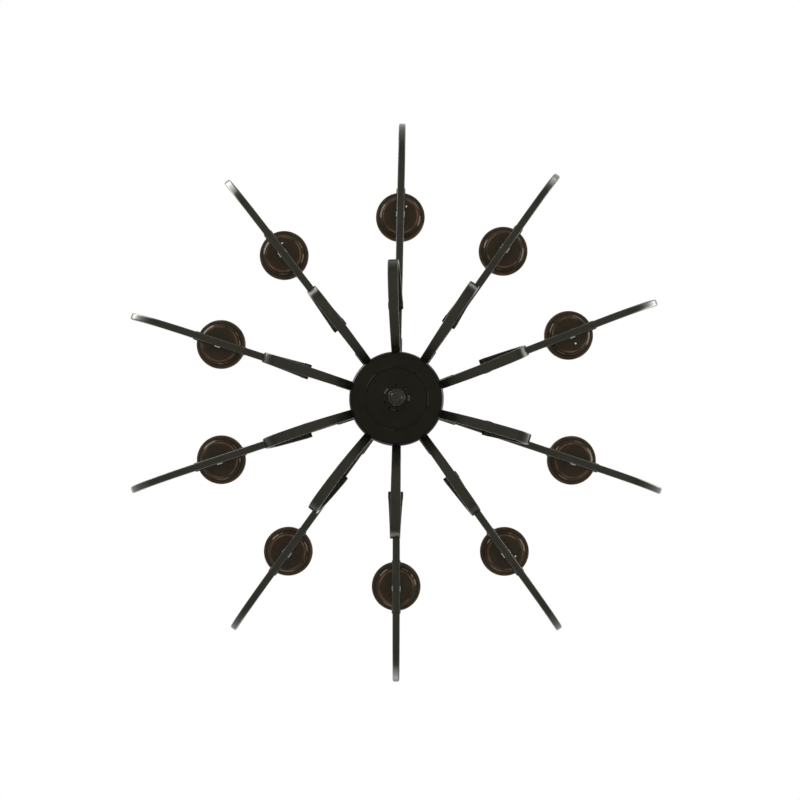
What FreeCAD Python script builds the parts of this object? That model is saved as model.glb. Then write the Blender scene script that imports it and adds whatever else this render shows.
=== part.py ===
import FreeCAD, Part
import math
import os

# Ten-arm scroll chandelier with candle pans and lift-off candle sleeves, hung on a short chain.
# Millimetres. +Z is up and the origin is the centre of the ceiling face: everything hangs below it.
# "rho" is the distance from the chandelier's vertical axis. Heights written as h are above the
# arms' undersides, which lie at z = ARM_Z.

Vec = FreeCAD.Vector

# ---- driving dimensions -------------------------------------------------------------------------
ARMS = 10
# how far each arm stands off its even tenth of the circle: the arms are bent and set by hand
ARM_SET_DEG = (0.5, 0.2, 0.1, -0.1, -0.3, 0.1, -1.5, 1.2, -0.7, -3.1)

# ceiling fitting
CANOPY_R = 64.0
CANOPY_DEPTH = 30.0
CANOPY_SHEET = 1.3
CROSSBAR = (108.0, 19.0, 3.0)
CEILING_SCREW_SPACING = 88.9
CEILING_SCREW_R = 2.4
PIPE_R = 5.0                    # M10 threaded pipe and rod
PIPE_BORE_R = 3.5
THREAD_PLAY = 0.05
COLLAR_R = 10.0
COLLAR_HEIGHT = 13.0

# rings and chain
RING_R = 12.0                   # centre line of the canopy and frame rings
RING_WIRE_R = 3.0
LINKS = 3
LINK_R = 10.0                   # centre line of a link's round ends
LINK_STRAIGHT = 30.0
LINK_WIRE_R = 2.5
LINK_PLAY = 0.1

# stem and hub
CAP_HEIGHT = 20.0
CAP_R = 13.0
STEM_R = 11.0
STEM_WALL = 1.5
STEM_LENGTH = 150.0
BELL_R = 68.0
BELL_WALL = 2.0
BELL_TOP_H = 56.0               # heights above the arms' undersides from here on
BELL_FOOT_H = -54.5
DISH_R = 73.0
DISH_FLOOR_H = -95.0
KNOB_R = 12.8
KNOB_FOOT_H = -114.0
SPIDER_R = 62.0
SPIDER_SHEET = 3.0

# arm: square tube, level, then bent up to the tip
ARM_SIDE = 12.0
ARM_WALL = 1.2
ARM_START_RHO = 36.0
ARM_BEND_RHO = 355.0
ARM_BEND_R = 150.0
ARM_BEND_DEG = 57.5
ARM_TIP_PLUG = 1.5
SHOE = (44.0, 108.0, 15.0, 3.0)  # rho from, rho to, width, thickness
BOLT_RHO = 52.0
BOLT_R = 2.0

# C-scroll: flat strap that starts at the hub, sags, turns back and flares under the arm
SCROLL_SHEET = 5.0
SCROLL_HUB_H = -47.5
SCROLL_FALL_DEG = 35.0
SCROLL_LEG = 45.0
SCROLL_BELLY_R = 90.0
SCROLL_RISE_DEG = 20.0
SCROLL_WIDTH_HUB = 13.5
SCROLL_WIDTH_TURN = 16.5
SCROLL_WIDTH_END = 24.5
SCROLL_END_RHO = 154.0
SCROLL_TOUCH_RHO = 180.0        # the strap bends away from the arm beyond this
SNUB_R = 6.5
# each scroll is set by hand: its turn about its root at the bell, and its lean about the arm
SCROLL_SET_DEG = ((-2.5, 0.25), (1.0, 0.25), (0.75, 0.0), (1.0, 2.0), (-0.75, 0.0),
                  (0.0, -2.5), (-0.25, -0.5), (-2.75, -2.5), (-1.75, 0.5), (-1.0, 4.75))

# candle
CANDLE_RHO = 312.0
BRIDGE_RHO = 307.0
BRIDGE_HALF = 48.0
BRIDGE_TOP_HALF = 26.0
BRIDGE_WIDTH = 15.0
BRIDGE_SHEET = 3.0
BRIDGE_FLOOR_H = 30.0           # top face of the bridge, where the pan sits
PAN_R = 41.3
PAN_FLOOR_R = 25.5
PAN_SHEET = 1.3
PAN_LIP_H = 12.0                # above the pan's underside
SLEEVE_R = 12.0
SLEEVE_BORE_R = 10.3
SLEEVE_HEIGHT = 98.0
SOCKET_R = 9.5
SOCKET_TOP_GAP = 5.0            # below the sleeve's mouth
SOCKET_LENGTH = 42.0
LAMP_BORE_R = 6.0               # candelabra screw shell
LAMP_BORE_DEPTH = 24.0
PAN_SCREW_RHO = 17.5            # from the candle's axis
PAN_SCREW_R = 1.5
# each pan's turn on its nipple: at 0 the screw sits in the bridge's hole, else beside the bridge
PAN_TURN_DEG = (0, -34, 0, 0, 0, 0, 33, 34, 0, 81)

# ---- heights worked out from the ceiling down -----------------------------------------------------
CANOPY_RING_Z = -CANOPY_DEPTH - COLLAR_HEIGHT - RING_WIRE_R - RING_R + 1.0


def top_end_centre(wire_z, wire_r, hung_r, hung_wire_r):
    """Height of a round end's centre when it hangs with a little play on a wire at wire_z."""
    return wire_z + wire_r + LINK_PLAY - (hung_r - hung_wire_r)


def link_centres():
    """Top and bottom end centres of each chain link, from the canopy ring down."""
    centres = []
    wire_z, wire_r = CANOPY_RING_Z - RING_R, RING_WIRE_R
    for _ in range(LINKS):
        top = top_end_centre(wire_z, wire_r, LINK_R, LINK_WIRE_R)
        bottom = top - LINK_STRAIGHT
        centres.append((top, bottom))
        wire_z, wire_r = bottom - LINK_R, LINK_WIRE_R
    return centres


LAST_WIRE_Z = link_centres()[-1][1] - LINK_R
FRAME_RING_Z = top_end_centre(LAST_WIRE_Z, LINK_WIRE_R, RING_R, RING_WIRE_R)
CAP_TOP_Z = FRAME_RING_Z - RING_R - RING_WIRE_R + 1.0
STEM_TOP_Z = CAP_TOP_Z - CAP_HEIGHT
ARM_Z = STEM_TOP_Z - STEM_LENGTH - BELL_TOP_H


# ---- shared shapes --------------------------------------------------------------------------------
def point(rho, z):
    return Vec(rho, 0, z)


def outline(start, *steps):
    """Wire in the XZ plane. A step is a point to draw a line to, or (middle, end) for an arc."""
    edges = []
    here = start
    for step in steps:
        if isinstance(step[0], tuple):
            middle, end = step
            edges.append(Part.Arc(point(*here), point(*middle), point(*end)).toShape())
        else:
            end = step
            edges.append(Part.makeLine(point(*here), point(*end)))
        here = end
    return Part.Wire(edges)


def revolved(start, *steps):
    """Solid of revolution about the vertical axis from a closed outline."""
    face = Part.Face(outline(start, *steps, start))
    return face.revolve(Vec(0, 0, 0), Vec(0, 0, 1), 360)


def above(h, steps):
    """Lift an outline's heights by h."""
    lifted = []
    for step in steps:
        if isinstance(step[0], tuple):
            lifted.append(tuple((rho, z + h) for rho, z in step))
        else:
            lifted.append((step[0], step[1] + h))
    return lifted


def cylinder(radius, low, high, rho=0.0):
    return Part.makeCylinder(radius, high - low, point(rho, low))


def block(rho_from, rho_to, width, low, high):
    return Part.makeBox(rho_to - rho_from, width, high - low, Vec(rho_from, -width / 2, low))


def hex_nut(across_flats, low, high, bore, rho=0.0):
    """Hexagon nut round a vertical bore."""
    corner = across_flats / math.sqrt(3)
    corners = [Vec(rho + corner * math.cos(math.radians(60 * k)),
                   corner * math.sin(math.radians(60 * k)), low) for k in range(7)]
    hexagon = Part.Face(Part.makePolygon(corners))
    return hexagon.extrude(Vec(0, 0, high - low)).cut(cylinder(bore, low, high, rho))


def arc_from(start, heading_deg, radius, turn_deg):
    """Arc that leaves start along heading and turns by turn_deg, to the left when positive.

    Returns the arc's edge, its end and the heading there."""
    side = math.copysign(1.0, turn_deg)
    centre_way = math.radians(heading_deg + 90 * side)
    centre = (start[0] + radius * math.cos(centre_way), start[1] + radius * math.sin(centre_way))

    def at(share):
        way = centre_way + math.pi + math.radians(turn_deg * share)
        return centre[0] + radius * math.cos(way), centre[1] + radius * math.sin(way)

    middle, end = at(0.5), at(1.0)
    edge = Part.Arc(point(*start), point(*middle), point(*end)).toShape()
    return edge, end, heading_deg + turn_deg


def swept_bar(edges, width, depth):
    """Bar of rectangular section swept along a path in the XZ plane; depth is in that plane."""
    first = edges[0]
    origin = first.valueAt(first.FirstParameter)
    along = first.tangentAt(first.FirstParameter)
    across = Vec(0, 1, 0)
    up = along.cross(across)
    corners = [origin + across * (a * width / 2) + up * (b * depth / 2)
               for a, b in ((1, 1), (-1, 1), (-1, -1), (1, -1), (1, 1))]
    return Part.Wire(edges).makePipeShell([Part.makePolygon(corners)], True, False)


def half_ring(radius, wire_r, centre_z, side):
    """Upper (side 1) or lower (side -1) half of a ring that stands in the XZ plane."""
    wire = Part.Wire(Part.makeCircle(wire_r, point(radius, centre_z), Vec(0, 0, 1)))
    return Part.Face(wire).revolve(point(0, centre_z), Vec(0, -side, 0), 180)


def turned(shape, degrees):
    """Copy of a shape turned about the vertical axis."""
    copy = shape.copy()
    copy.rotate(Vec(0, 0, 0), Vec(0, 0, 1), degrees)
    return copy


def arm_angles():
    """Direction of each arm in degrees from +X."""
    step = 360.0 / ARMS
    return [step / 2 + step * k + ARM_SET_DEG[k] for k in range(ARMS)]


def crosswise(shape, place):
    """Rings and links hang at right angles to each other: place counts them from the canopy."""
    return turned(shape, 90) if place % 2 else shape


def round_the_hub(shape):
    """The shape once at every arm, as one group."""
    return Part.Compound([turned(shape, angle) for angle in arm_angles()])


# ---- ceiling fitting ------------------------------------------------------------------------------
def ceiling_canopy():
    """Spun cup whose rim lies on the ceiling."""
    s = CANOPY_SHEET
    d = CANOPY_DEPTH
    return revolved((CANOPY_R, 0), (CANOPY_R, -5), ((58, -16), (44, -21.5)), (22, -25),
                    ((15, -26.5), (12, -d)), (PIPE_R + THREAD_PLAY, -d),
                    (PIPE_R + THREAD_PLAY, -d + s), (11, -d + s), ((14, -25.4), (21.8, -23.7)),
                    (43.6, -20.3), ((57, -15.2), (CANOPY_R - s, -4.8)), (CANOPY_R - s, 0))


def crossbar():
    """Flat bar screwed to the ceiling box, with rounded ends and a hole for the canopy nipple."""
    length, width, sheet = CROSSBAR
    straight = block(-(length - width) / 2, (length - width) / 2, width, -sheet, 0)
    ends = [cylinder(width / 2, -sheet, 0, side * (length - width) / 2) for side in (-1, 1)]
    bar = straight.multiFuse(ends).removeSplitter()
    holes = [cylinder(CEILING_SCREW_R, -sheet, 0, side * CEILING_SCREW_SPACING / 2)
             for side in (-1, 1)]
    holes.append(cylinder(PIPE_R + THREAD_PLAY, -sheet, 0))
    return bar.cut(Part.Compound(holes))


def canopy_nipple():
    """Threaded pipe from the crossbar into the collar, and the nut that holds the crossbar."""
    sheet = CROSSBAR[2]
    foot = -CANOPY_DEPTH - COLLAR_HEIGHT + 3.5
    pipe = cylinder(PIPE_R, foot, -0.5).cut(cylinder(PIPE_BORE_R, foot, -0.5))
    nut = hex_nut(17, -sheet - 5, -sheet, PIPE_R + THREAD_PLAY)
    return Part.Compound([pipe, nut])


def ring(centre_z):
    """Closed ring standing in the XZ plane."""
    return Part.makeTorus(RING_R, RING_WIRE_R, point(0, centre_z), Vec(0, 1, 0))


def canopy_loop():
    """Screw collar that holds the canopy up, with the ring the chain hangs on."""
    top = -CANOPY_DEPTH
    foot = top - COLLAR_HEIGHT
    collar = revolved((0, top), (COLLAR_R - 1, top), (COLLAR_R, top - 1),
                      (COLLAR_R, foot + 5), (5, foot), (0, foot))
    body = collar.fuse(ring(CANOPY_RING_Z)).removeSplitter()
    return body.cut(cylinder(PIPE_R + THREAD_PLAY, foot + 3.2, top))


# ---- chain ----------------------------------------------------------------------------------------
def chain_link(top, bottom):
    """Long link in the XZ plane with round ends centred at the heights top and bottom."""
    sides = [Part.makeCylinder(LINK_WIRE_R, top - bottom, point(side * LINK_R, bottom))
             for side in (-1, 1)]
    ends = [half_ring(LINK_R, LINK_WIRE_R, top, 1), half_ring(LINK_R, LINK_WIRE_R, bottom, -1)]
    return sides[0].multiFuse([sides[1]] + ends).removeSplitter()


# ---- stem and hub ---------------------------------------------------------------------------------
def frame_loop():
    """Ring on a turned cap that screws onto the centre rod and closes the stem."""
    top, foot = CAP_TOP_Z, STEM_TOP_Z
    cap = revolved((0, top), (5.5, top), ((6.5, top - 5), (10, top - 9)), (CAP_R, top - 11),
                   (CAP_R, foot + 2), (CAP_R - 1, foot), (0, foot))
    body = cap.fuse(crosswise(ring(FRAME_RING_Z), LINKS + 1)).removeSplitter()
    return body.cut(cylinder(PIPE_R + THREAD_PLAY, foot, foot + 14))


def stem():
    """Plain tube with a turned collar at its foot, from the cap down to the bell."""
    foot = STEM_TOP_Z - STEM_LENGTH
    bore = STEM_R - STEM_WALL
    return revolved((bore, foot), (STEM_R + 3, foot), (STEM_R + 3, foot + 3),
                    ((STEM_R + 1, foot + 5), (STEM_R, foot + 9)), (STEM_R, STEM_TOP_Z),
                    (bore, STEM_TOP_Z))


def centre_rod():
    """Threaded rod that hangs the hub from the cap, and its nuts at the bell and the spider."""
    rod = cylinder(PIPE_R, ARM_Z - 107, STEM_TOP_Z + 12)
    spider_low = ARM_SIDE + SHOE[3]
    seats = (BELL_TOP_H - BELL_WALL - 6, spider_low + SPIDER_SHEET, spider_low - 6)
    nuts = [hex_nut(17, ARM_Z + h, ARM_Z + h + 6, PIPE_R + THREAD_PLAY) for h in seats]
    return Part.Compound([rod] + nuts)


def hub_bell():
    """Drum and dome in one spun piece, with a slot through the drum for each arm and its shoe."""
    w = BELL_WALL
    bell = revolved(*above(ARM_Z, [
        (BELL_R, BELL_FOOT_H), (BELL_R, 24), ((64.5, 34), (54, 39)), ((36, 43), (24, 48)),
        ((17, 51), (14, BELL_TOP_H)), (PIPE_R + THREAD_PLAY, BELL_TOP_H),
        (PIPE_R + THREAD_PLAY, BELL_TOP_H - w), (12.6, BELL_TOP_H - w),
        ((16, 49.4), (23, 46.2)), ((35.5, 41), (53.3, 37)), ((63, 32.5), (BELL_R - w, 23.6)),
        (BELL_R - w, BELL_FOOT_H)]))
    arm_top = ARM_Z + ARM_SIDE
    gap = 0.1
    slot = block(BELL_R - 6, BELL_R + 2, ARM_SIDE + 2 * gap, ARM_Z - gap, arm_top)
    shoe_slot = block(BELL_R - 6, BELL_R + 2, SHOE[2] + 2 * gap, arm_top, arm_top + SHOE[3] + gap)
    return bell.cut(round_the_hub(slot.fuse(shoe_slot)))


def arm_spider():
    """Round plate inside the bell that all the arms are bolted to, with holes for the wires."""
    low = ARM_Z + ARM_SIDE + SHOE[3]
    plate = cylinder(SPIDER_R, low, low + SPIDER_SHEET)
    holes = [cylinder(PIPE_R + THREAD_PLAY, low, low + SPIDER_SHEET),
             round_the_hub(cylinder(BOLT_R + 0.1, low, low + SPIDER_SHEET, BOLT_RHO))]
    wire_hole = cylinder(6.0, low, low + SPIDER_SHEET, 28.0)
    holes += [turned(wire_hole, 72 * k) for k in range(5)]
    return plate.cut(Part.Compound(holes))


def hub_dish():
    """Spun bowl that closes the drum from below: rolled rim, ring bead, cone down to the knob."""
    bore = PIPE_R + THREAD_PLAY
    floor = DISH_FLOOR_H
    return revolved(*above(ARM_Z, [
        (64, BELL_FOOT_H), (70.5, BELL_FOOT_H), ((72.3, -55.3), (DISH_R, -57.5)),
        ((71.6, -66.5), (64, -72.5)), (48.4, -78.6), ((47.4, -80.3), (45.6, -79.5)),
        ((33, -82.4), (21, -88)), ((18.6, -91), (17.4, floor)), (bore, floor), (bore, floor + 1.5),
        (16.1, floor + 1.5), ((17.4, -90), (20, -86.7)), ((32.3, -81.0), (45.4, -78)),
        (63.2, -71.2), ((70.2, -65.8), (71.5, -57.9)), ((70.9, -56.4), (70, -56)), (64, -56)]))


def finial():
    """Turned knob on the end of the centre rod, with a groove under its head and a dimple."""
    foot = KNOB_FOOT_H
    bore = PIPE_R + THREAD_PLAY
    return revolved(*above(ARM_Z, [
        (bore, DISH_FLOOR_H), (9, DISH_FLOOR_H), (9, -98.5), ((11.9, -100), (KNOB_R, -103.5)),
        ((12, -107), (8.8, -108.6)), ((7.8, -112.2), (4.4, foot)), (2.4, foot), (0, -112.6),
        (0, -107.5), (bore, -107.5)]))


def arm_bolts():
    """Bolt through each arm and the spider from below, with its nut on the spider."""
    top = ARM_Z + ARM_SIDE + SHOE[3] + SPIDER_SHEET
    head = cylinder(3.5, ARM_Z - 2.6, ARM_Z, BOLT_RHO)
    bolt = head.fuse(cylinder(BOLT_R, ARM_Z - 2.6, top + 4.5, BOLT_RHO)).removeSplitter()
    nut = hex_nut(7, top, top + 3.2, BOLT_R + THREAD_PLAY, BOLT_RHO)
    return round_the_hub(Part.Compound([bolt, nut]))


# ---- arm and scroll -------------------------------------------------------------------------------
def arm_path(start_rho, bend_deg):
    """Centre line of the square bar: level run, then the bend up to the tip."""
    mid_z = ARM_Z + ARM_SIDE / 2
    level = Part.makeLine(point(start_rho, mid_z), point(ARM_BEND_RHO, mid_z))
    bend = arc_from((ARM_BEND_RHO, mid_z), 0, ARM_BEND_R, bend_deg)[0]
    return [level, bend]


def arm():
    """Square tube closed at its tip, with the wide shoe that passes through the bell."""
    rho_from, rho_to, width, sheet = SHOE
    top = ARM_Z + ARM_SIDE
    inner = ARM_SIDE - 2 * ARM_WALL
    plug_deg = math.degrees(ARM_TIP_PLUG / ARM_BEND_R)
    bar = swept_bar(arm_path(ARM_START_RHO, ARM_BEND_DEG), ARM_SIDE, ARM_SIDE)
    bore = swept_bar(arm_path(ARM_START_RHO - 1, ARM_BEND_DEG - plug_deg), inner, inner)
    shoe = block(rho_from, rho_to - width / 2, width, top, top + sheet)
    shoe_end = cylinder(width / 2, top, top + sheet, rho_to - width / 2)
    whole = bar.cut(bore).multiFuse([shoe, shoe_end]).removeSplitter()
    bolt_hole = cylinder(BOLT_R + 0.1, ARM_Z - 1, top + sheet + 1, BOLT_RHO)
    wire_hole = cylinder(PIPE_R, top - 3, top + 1, CANDLE_RHO)
    return whole.cut(Part.Compound([bolt_hole, wire_hole]))


def scroll_path():
    """Centre line of the strap, from the bell's wall to the snub end under the arm."""
    fall = math.radians(SCROLL_FALL_DEG)
    start = (BELL_R - 4, ARM_Z + SCROLL_HUB_H + 4 * math.tan(fall))
    leg = SCROLL_LEG + 4 / math.cos(fall)
    leg_end = (start[0] + leg * math.cos(fall), start[1] - leg * math.sin(fall))
    edges = [Part.makeLine(point(*start), point(*leg_end))]
    belly_turn = SCROLL_FALL_DEG + SCROLL_RISE_DEG
    edge, here, heading = arc_from(leg_end, -SCROLL_FALL_DEG, SCROLL_BELLY_R, belly_turn)
    edges.append(edge)
    # the turn's radius follows from the height left under the arm
    top = ARM_Z - SCROLL_SHEET / 2
    turn_r = (top - here[1]) / (1 + math.cos(math.radians(heading)))
    edge, here, heading = arc_from(here, heading, turn_r, 180 - heading)
    edges.append(edge)
    edges.append(Part.makeLine(point(*here), point(SCROLL_END_RHO, here[1])))
    return edges, turn_r


def plan_wedge(rho_from, width_from, rho_to, width_to, low, high):
    """Prism seen from above as a taper between two widths."""
    corners = [Vec(rho_from, -width_from / 2, low), Vec(rho_to, -width_to / 2, low),
               Vec(rho_to, width_to / 2, low), Vec(rho_from, width_from / 2, low)]
    return Part.Face(Part.makePolygon(corners + corners[:1])).extrude(Vec(0, 0, high - low))


def scroll():
    """C-scroll strap: narrow at the hub, wide where it turns, flared to a rolled snub end."""
    edges, turn_r = scroll_path()
    strap = swept_bar(edges, SCROLL_WIDTH_END + 2, SCROLL_SHEET)
    outer_rho = strap.BoundBox.XMax
    middle = ARM_Z - SCROLL_SHEET / 2 - turn_r
    floor = strap.BoundBox.ZMin
    lower = plan_wedge(BELL_R - 10, SCROLL_WIDTH_HUB, outer_rho + 1, SCROLL_WIDTH_TURN,
                       floor - 1, middle)
    upper = plan_wedge(SCROLL_END_RHO, SCROLL_WIDTH_END, outer_rho, SCROLL_WIDTH_TURN,
                       middle, ARM_Z)
    snub = Part.makeCylinder(SNUB_R, SCROLL_WIDTH_END,
                             Vec(SCROLL_END_RHO, -SCROLL_WIDTH_END / 2, ARM_Z - SNUB_R),
                             Vec(0, 1, 0))
    return strap.common(lower).multiFuse([strap.common(upper), snub]).removeSplitter()


def set_scroll(strap, turn_deg, lean_deg):
    """A scroll leant and turned as its smith left it, touching the arm, its root cut to the bell."""
    placed = strap.copy()
    placed.rotate(point(0, ARM_Z), Vec(1, 0, 0), lean_deg)
    placed.rotate(point(BELL_R, 0), Vec(0, 0, 1), turn_deg)
    strayed = (SCROLL_TOUCH_RHO - BELL_R) * math.sin(math.radians(abs(turn_deg)))
    drop = (ARM_SIDE / 2 + strayed) * math.sin(math.radians(abs(lean_deg)))
    placed.translate(Vec(0, 0, -drop))
    box = placed.BoundBox
    return placed.cut(cylinder(BELL_R, box.ZMin - 1, box.ZMax + 1))


# ---- candle ---------------------------------------------------------------------------------------
def pan_bridge():
    """Low strap bridge on the arm: two rounded feet and a flat top that the pan sits on."""
    foot_mid = ARM_Z + ARM_SIDE + BRIDGE_SHEET / 2
    top_mid = ARM_Z + BRIDGE_FLOOR_H - BRIDGE_SHEET / 2
    foot_half = BRIDGE_HALF - 10
    path = outline((-BRIDGE_HALF, foot_mid), (-foot_half, foot_mid), (-BRIDGE_TOP_HALF, top_mid),
                   (BRIDGE_TOP_HALF, top_mid), (foot_half, foot_mid), (BRIDGE_HALF, foot_mid))
    face = path.makeOffset2D(BRIDGE_SHEET / 2, 2, True, True)
    strap = face.extrude(Vec(0, BRIDGE_WIDTH, 0))
    strap.translate(Vec(BRIDGE_RHO, -BRIDGE_WIDTH / 2, 0))
    low, high = ARM_Z, ARM_Z + BRIDGE_FLOOR_H + 1
    end_rho = BRIDGE_HALF - BRIDGE_WIDTH / 2
    plan = block(BRIDGE_RHO - end_rho, BRIDGE_RHO + end_rho, BRIDGE_WIDTH, low, high)
    ends = [cylinder(BRIDGE_WIDTH / 2, low, high, BRIDGE_RHO + side * end_rho) for side in (-1, 1)]
    shaped = strap.common(plan.multiFuse(ends))
    screw_hole = cylinder(PAN_SCREW_R + 0.5, top_mid - 3, high, CANDLE_RHO + PAN_SCREW_RHO)
    return shaped.cut(cylinder(PIPE_R + THREAD_PLAY, top_mid - 3, high, CANDLE_RHO)).cut(screw_hole)


def drip_pan():
    """Spun saucer: flat floor, ogee wall and a nearly flat flange with a turned-up lip."""
    bore = PIPE_R + THREAD_PLAY
    s = PAN_SHEET
    pan = revolved(*above(ARM_Z + BRIDGE_FLOOR_H, [
        (bore, 0), (PAN_FLOOR_R, 0), ((30, 1.2), (33.3, 4.5)), ((34.8, 6.3), (36.9, 7.3)),
        (PAN_R, 8.5), (PAN_R, PAN_LIP_H), (PAN_R - s, PAN_LIP_H), (PAN_R - s, 9.5),
        (36.5, 8.55), ((34, 7.3), (32.3, 5.3)), ((29.4, 2.4), (PAN_FLOOR_R, s)), (bore, s)]))
    pan.translate(Vec(CANDLE_RHO, 0, 0))
    return pan


def pan_screw(turn_deg):
    """Small screw whose end stands out under a pan that is turned by turn_deg on its nipple."""
    floor = ARM_Z + BRIDGE_FLOOR_H
    rho = CANDLE_RHO + PAN_SCREW_RHO * math.cos(math.radians(turn_deg))
    side = PAN_SCREW_RHO * math.sin(math.radians(turn_deg))
    return Part.makeCylinder(PAN_SCREW_R, 2.2, Vec(rho, side, floor - 2.2))


def socket_nipple():
    """Threaded pipe through bridge and pan into the lamp socket, with a nut on each side."""
    foot = ARM_Z + BRIDGE_FLOOR_H - BRIDGE_SHEET - 9
    pan_top = ARM_Z + BRIDGE_FLOOR_H + PAN_SHEET
    top = pan_top + SLEEVE_HEIGHT - SOCKET_TOP_GAP - SOCKET_LENGTH + 7
    pipe = cylinder(PIPE_R, foot, top, CANDLE_RHO).cut(
        cylinder(PIPE_BORE_R, foot, top, CANDLE_RHO))
    bridge_foot = ARM_Z + BRIDGE_FLOOR_H - BRIDGE_SHEET
    nuts = [hex_nut(14, bridge_foot - 5, bridge_foot, PIPE_R + THREAD_PLAY, CANDLE_RHO),
            hex_nut(14, pan_top, pan_top + 5, PIPE_R + THREAD_PLAY, CANDLE_RHO)]
    return Part.Compound([pipe] + nuts)


def lamp_socket():
    """Candelabra lamp socket: the lamp's bore above, the nipple's thread below."""
    top = ARM_Z + BRIDGE_FLOOR_H + PAN_SHEET + SLEEVE_HEIGHT - SOCKET_TOP_GAP
    foot = top - SOCKET_LENGTH
    body = cylinder(SOCKET_R, foot, top, CANDLE_RHO)
    lamp_bore = cylinder(LAMP_BORE_R, top - LAMP_BORE_DEPTH, top, CANDLE_RHO)
    thread = cylinder(PIPE_R + THREAD_PLAY, foot, foot + 8, CANDLE_RHO)
    return body.cut(lamp_bore).cut(thread)


def candle_sleeve():
    """Plain sleeve that stands on the pan round the socket, with an eased mouth."""
    foot = ARM_Z + BRIDGE_FLOOR_H + PAN_SHEET
    top = foot + SLEEVE_HEIGHT
    sleeve = revolved((SLEEVE_BORE_R, foot), (SLEEVE_R, foot), (SLEEVE_R, top - 1),
                      (SLEEVE_R - 0.8, top), (SLEEVE_BORE_R, top))
    sleeve.translate(Vec(CANDLE_RHO, 0, 0))
    return sleeve


# ---- assembly -------------------------------------------------------------------------------------
def build_nodes():
    """Every sub-part by node name."""
    nodes = {
        "ceiling_canopy": ceiling_canopy(),
        "crossbar": crossbar(),
        "canopy_nipple": canopy_nipple(),
        "canopy_loop": canopy_loop(),
        "frame_loop": frame_loop(),
        "stem": stem(),
        "centre_rod": centre_rod(),
        "hub_bell": hub_bell(),
        "arm_spider": arm_spider(),
        "hub_dish": hub_dish(),
        "finial": finial(),
        "arm_bolts": arm_bolts(),
        "pan_bridges": round_the_hub(pan_bridge()),
        "socket_nipples": round_the_hub(socket_nipple()),
        "lamp_sockets": round_the_hub(lamp_socket()),
    }
    angles = arm_angles()
    nodes["pan_screws"] = Part.Compound(
        [turned(pan_screw(PAN_TURN_DEG[k]), angles[k]) for k in range(ARMS)])
    for number, (top, bottom) in enumerate(link_centres(), start=1):
        nodes[f"chain_link_{number}"] = crosswise(chain_link(top, bottom), number)
    repeated = {"arm": arm(), "drip_pan": drip_pan(), "candle_sleeve": candle_sleeve()}
    for name, shape in repeated.items():
        for k, angle in enumerate(angles, start=1):
            nodes[f"{name}_{k:02d}"] = turned(shape, angle)
    strap = scroll()
    for k, (turn_deg, lean_deg) in enumerate(SCROLL_SET_DEG):
        nodes[f"scroll_{k + 1:02d}"] = turned(set_scroll(strap, turn_deg, lean_deg), angles[k])
    return nodes


def main():
    os.makedirs("parts", exist_ok=True)
    for name, shape in build_nodes().items():
        shape.exportStep(os.path.join("parts", name + ".step"))
    print(f"arm underside at z = {ARM_Z:.2f} mm")


main()
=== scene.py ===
"""Looks of a ten-arm scroll chandelier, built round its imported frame.

The camera stands under the lamp and looks straight up, so image right is +X and image up is -Y.
Sizes are in millimetres until a mesh is made. "rho" is the distance from the lamp's vertical axis.
Heights of the hub, arms and candles are above the arms' undersides, and those of the ceiling
fitting and the chain are above the ceiling face, so they are negative.
"""

import logging
import math
from collections.abc import Sequence
from dataclasses import dataclass, field
from enum import Enum

import bpy
import numpy as np
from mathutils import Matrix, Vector


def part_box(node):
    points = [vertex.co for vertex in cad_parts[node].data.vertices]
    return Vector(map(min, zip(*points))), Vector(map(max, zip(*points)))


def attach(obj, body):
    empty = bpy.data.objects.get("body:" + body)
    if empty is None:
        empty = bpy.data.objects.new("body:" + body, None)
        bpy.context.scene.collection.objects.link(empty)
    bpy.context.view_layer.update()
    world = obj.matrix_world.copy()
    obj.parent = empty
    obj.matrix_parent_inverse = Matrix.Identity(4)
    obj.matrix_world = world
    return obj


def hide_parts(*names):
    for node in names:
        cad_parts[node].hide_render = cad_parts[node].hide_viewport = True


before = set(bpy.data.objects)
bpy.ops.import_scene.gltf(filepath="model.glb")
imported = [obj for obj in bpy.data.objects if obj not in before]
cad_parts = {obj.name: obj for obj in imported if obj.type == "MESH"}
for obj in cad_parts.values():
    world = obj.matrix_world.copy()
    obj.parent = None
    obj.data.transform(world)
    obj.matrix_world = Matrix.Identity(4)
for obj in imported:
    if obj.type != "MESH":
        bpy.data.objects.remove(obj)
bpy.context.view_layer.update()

LOG = logging.getLogger("scene")
MM = 0.001
ARM_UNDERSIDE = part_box("arm_01")[0][2] / MM
ARMS = 10
# how far each arm stands off its even tenth of the circle, as in the photograph
ARM_SET_DEG = (0.5, 0.2, 0.1, -0.1, -0.3, 0.1, -1.5, 1.2, -0.7, -3.1)
# each scroll's turn about its root at the bell, and its lean about the arm
SCROLL_SET_DEG = ((-2.5, 0.25), (1.0, 0.25), (0.75, 0.0), (1.0, 2.0), (-0.75, 0.0),
                  (0.0, -2.5), (-0.25, -0.5), (-2.75, -2.5), (-1.75, 0.5), (-1.0, 4.75))
SMALLEST_FILLET = 0.05
DEGREES_PER_FACET = 5.0
AXIS_RHO = 0.02
LONGEST_STEP = 60.0
# fillets of this radius or more are too soft for handling to wear them
UNWORN_FILLET = 1.6
# a bar's rounded corners wear in full over the middle part of their turn
CORNER_WEAR = 2.2
STEEPEST_TAPER = 4.0
# a round end is squared off at this share of the strap's width
BLUNT_SHARE = 0.32
END_STEPS = 16


def arm_angle(index: int) -> float:
    """Direction of an arm in degrees from +X, counted from 0."""
    step = 360.0 / ARMS
    return step / 2 + step * index + ARM_SET_DEG[index]


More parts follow.
